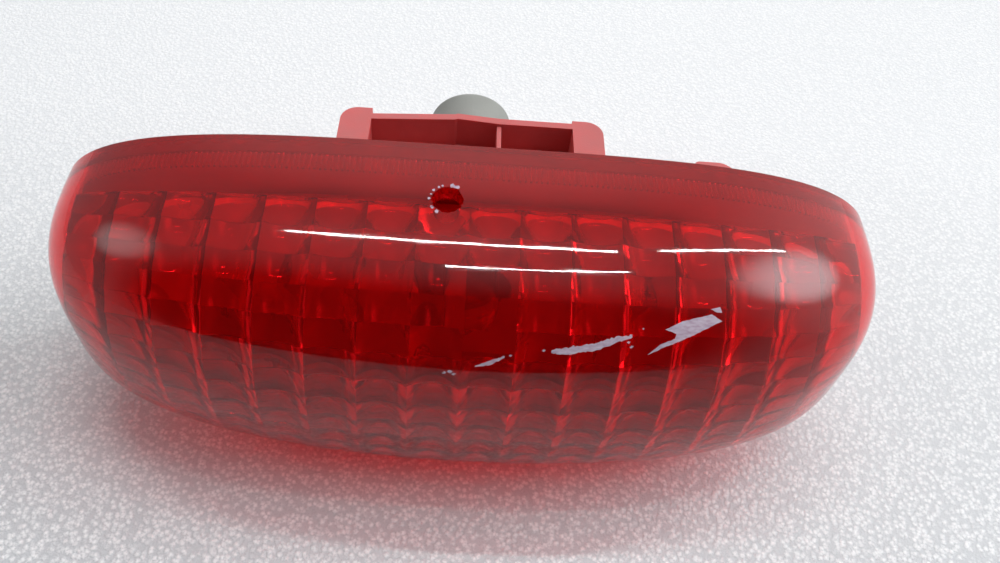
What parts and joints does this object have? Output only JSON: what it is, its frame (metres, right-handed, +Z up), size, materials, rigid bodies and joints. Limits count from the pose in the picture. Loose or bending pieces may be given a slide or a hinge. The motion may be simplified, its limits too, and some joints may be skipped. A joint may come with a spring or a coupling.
{
  "type": "third brake light",
  "caption": "Oval domed red high-level brake lamp with moulded rear housing, foam gasket, fixing towers and a twist-lock bulb holder.",
  "frame": {"origin": "middle of the two fixing holes, on the plane of the fixing towers' ends", "axes": "+X to the right seen from the lens, +Y into the vehicle along the fixing screws and the bulb, +Z up; the lens faces -Y"},
  "size_m": [0.1682, 0.0945, 0.064],
  "materials": {
    "red_acrylic": "moulded transparent acrylic, gloss",
    "bond_adhesive": "cured hot-melt bead",
    "red_abs": "moulded, fine spark texture",
    "closed_cell_foam": "closed-cell foam skin",
    "open_cell_foam": "open-cell foam",
    "insert_brass": "knurled and turned",
    "metallised_abs": "vacuum metallised",
    "zinc_plated_screw": "zinc plated",
    "grey_polyamide": "moulded, matt",
    "seal_rubber": "moulded",
    "retainer_polyamide": "moulded, matt",
    "tinned_brass": "tinned strip",
    "bulb_glass": "clear",
    "nickel_wire": "drawn",
    "tungsten_wire": "drawn and coiled"
  },
  "bodies": {
    "lamp_body": {"outer_lens": "red_acrylic", "lens_bond": "bond_adhesive", "rear_housing": "red_abs", "body_gasket": "closed_cell_foam", "vent_foam": "open_cell_foam", "fixing_insert_left": "insert_brass", "fixing_insert_right": "insert_brass", "reflector": "metallised_abs", "reflector_screw_left": "zinc_plated_screw", "reflector_screw_right": "zinc_plated_screw"},
    "bulb_holder": {"holder_body": "grey_polyamide", "holder_seal": "seal_rubber", "terminal_retainer": "retainer_polyamide", "contact_negative": "tinned_brass", "contact_positive": "tinned_brass"},
    "bulb": {"bulb_glass": "bulb_glass", "lead_wire_negative": "nickel_wire", "lead_wire_positive": "nickel_wire", "filament": "tungsten_wire"}
  },
  "joints": [
    {"name": "holder_twist", "type": "hinge", "parent": "lamp_body", "child": "bulb_holder", "pos_m": [0, 0.005, -0.007], "axis": [0, 1, 0], "range_deg": [0, 45]},
    {"name": "bulb_pull", "type": "slide", "parent": "bulb_holder", "child": "bulb", "axis": [0, -1, 0], "range_m": [0, 0.0085]}
  ]
}
